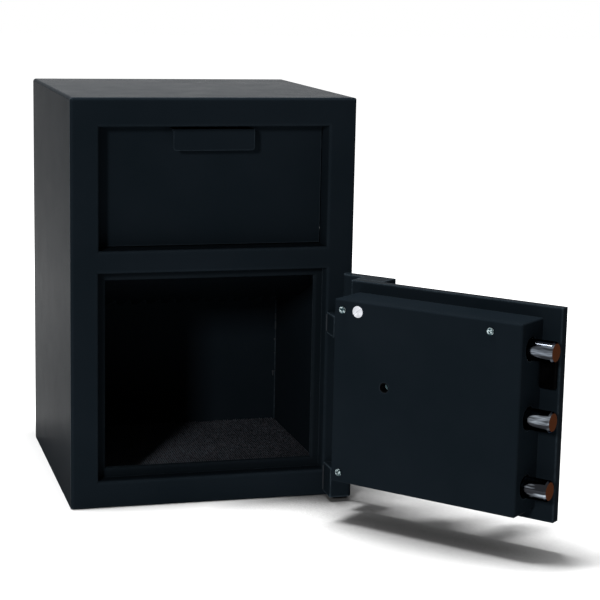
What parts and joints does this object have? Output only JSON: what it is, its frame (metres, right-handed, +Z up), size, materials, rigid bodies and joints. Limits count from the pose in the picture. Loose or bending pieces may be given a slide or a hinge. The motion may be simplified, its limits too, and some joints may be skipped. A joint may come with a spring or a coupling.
{
  "type": "front-loading drop safe",
  "caption": "Steel drop safe with a tilt-out deposit hopper above a thick hinged door with thrown locking bolts, carpeted inside.",
  "frame": {"origin": "centre of the body's base, on the surface it stands on", "axes": "+Z up, +Y from the front face to the back, +X to the right seen from the front"},
  "size_m": [0.5278, 0.6664, 0.508],
  "materials": {
    "body_paint": "semi-gloss, fine texture",
    "inner_paint": "semi-gloss",
    "chrome": "polished",
    "bright_steel": "satin, zinc plated",
    "dark_steel": "plain mill finish",
    "lock_metal": "as cast",
    "brass": "satin",
    "carpet": "ribbed pile",
    "rubber": "matte",
    "dial_black": "gloss"
  },
  "bodies": {
    "safe": {"body_wrap": "body_paint", "bottom_plate": "body_paint", "back_plate": "body_paint", "front_frame": "body_paint", "stop_frame": "inner_paint", "hopper_stop": "inner_paint", "toothed_baffle": "inner_paint", "rear_baffle": "inner_paint", "carpet": "carpet", "upper_hinge_lug": "body_paint", "lower_hinge_lug": "body_paint", "hinge_pins": "bright_steel", "thrust_washers": "brass", "hopper_pivot_pins": "bright_steel"},
    "door": {"door_plate": "body_paint", "upper_hinge_strap": "body_paint", "lower_hinge_strap": "body_paint", "stop_pad": "rubber", "bolt_cover": "body_paint", "cover_posts": "bright_steel", "cover_screws": "bright_steel", "cover_plug": "bright_steel", "key_hole_bush": "bright_steel", "bolt_guide": "dark_steel", "guide_studs": "bright_steel", "hard_plate": "dark_steel", "lock_case": "lock_metal", "lock_bolt": "brass", "lock_screws": "bright_steel", "dial_ring": "body_paint", "handle_rose": "chrome"},
    "bolt_work": {"bolt_bar": "dark_steel", "upper_bolt": "chrome", "middle_bolt": "chrome", "lower_bolt": "chrome", "bolt_screws": "dark_steel"},
    "handle": {"handle_lever": "chrome", "handle_crank": "dark_steel"},
    "dial": {"dial_knob": "dial_black", "dial_spindle": "bright_steel"},
    "hopper": {"hopper_panel": "body_paint", "pull_lip": "body_paint", "hopper_left_cheek": "inner_paint", "hopper_right_cheek": "inner_paint", "hopper_tray": "inner_paint"}
  },
  "joints": [
    {"name": "door_swing", "type": "hinge", "parent": "safe", "child": "door", "pos_m": [0.167, -0.2011, 0.1645], "axis": [0, 0, 1], "range_deg": [-130.6, 44.4]},
    {"name": "bolt_throw", "type": "slide", "parent": "door", "child": "bolt_work", "axis": [-0.6508, 0.7593, 0], "range_m": [0, 0.024]},
    {"name": "handle_turn", "type": "hinge", "parent": "door", "child": "handle", "pos_m": [0.28402, -0.37343, 0.1645], "axis": [-0.7593, -0.6508, 0], "range_deg": [0, 90]},
    {"name": "dial_spin", "type": "hinge", "parent": "door", "child": "dial", "pos_m": [0.23651, -0.318, 0.1782], "axis": [-0.7593, -0.6508, 0], "continuous": true},
    {"name": "hopper_tilt", "type": "hinge", "parent": "safe", "child": "hopper", "pos_m": [0, -0.1403, 0.34042], "axis": [1, 0, 0], "range_deg": [0, 45]}
  ],
  "couplings": [
    {"joint": "handle_turn", "follows": "bolt_throw", "rad_per_m": 65.45}
  ]
}
